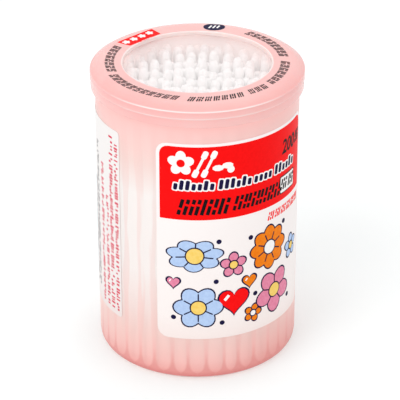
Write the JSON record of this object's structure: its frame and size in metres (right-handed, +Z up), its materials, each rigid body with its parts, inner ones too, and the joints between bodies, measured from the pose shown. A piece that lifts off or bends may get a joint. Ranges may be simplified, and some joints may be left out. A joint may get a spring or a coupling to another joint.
{
  "type": "cotton swab tub",
  "caption": "Round translucent tub of double-ended cotton swabs with a lift-off ring lid, a clear window and two wrapped paper labels.",
  "frame": {"origin": "centre of the underside of the foot ring", "axes": "+Z up along the tub's axis, -Y towards the front, +X to the right seen from the front"},
  "size_m": [0.0572, 0.0572, 0.083],
  "materials": {
    "pink_polypropylene": "injection moulded, translucent, satin",
    "clear_polystyrene": "clear, polished",
    "label_paper": "coated label paper, satin print",
    "cotton": "white cotton buds on white plastic stems"
  },
  "bodies": {
    "tub_body": {"back_label": "label_paper", "core_swabs_01": "cotton", "core_swabs_02": "cotton", "core_swabs_03": "cotton", "core_swabs_04": "cotton", "core_swabs_05": "cotton", "core_swabs_06": "cotton", "core_swabs_07": "cotton", "core_swabs_08": "cotton", "core_swabs_09": "cotton", "core_swabs_10": "cotton", "core_swabs_11": "cotton", "core_swabs_12": "cotton", "front_label": "label_paper", "nested_swabs": "cotton", "tub": "pink_polypropylene", "wall_swab_01": "cotton", "wall_swab_02": "cotton", "wall_swab_03": "cotton", "wall_swab_04": "cotton", "wall_swab_05": "cotton", "wall_swab_06": "cotton", "wall_swab_07": "cotton", "wall_swab_08": "cotton", "wall_swab_09": "cotton", "wall_swab_10": "cotton", "wall_swab_11": "cotton", "wall_swab_12": "cotton", "wall_swab_13": "cotton", "wall_swab_14": "cotton", "wall_swab_15": "cotton", "wall_swab_16": "cotton", "wall_swab_17": "cotton", "wall_swab_18": "cotton", "wall_swab_19": "cotton", "wall_swab_20": "cotton", "wall_swab_21": "cotton", "wall_swab_22": "cotton", "wall_swab_23": "cotton", "wall_swab_24": "cotton", "wall_swab_25": "cotton", "wall_swab_26": "cotton", "wall_swab_27": "cotton", "wall_swab_28": "cotton", "wall_swab_29": "cotton", "wall_swab_30": "cotton", "wall_swab_31": "cotton", "wall_swab_32": "cotton", "wall_swab_33": "cotton", "wall_swab_34": "cotton", "wall_swab_35": "cotton", "wall_swab_36": "cotton"},
    "lid_body": {"lid": "pink_polypropylene", "lid_window": "clear_polystyrene"}
  },
  "joints": [
    {"name": "lid_lift", "type": "slide", "parent": "tub_body", "child": "lid_body", "axis": [0, 0, 1], "range_m": [0, 0.05]}
  ]
}
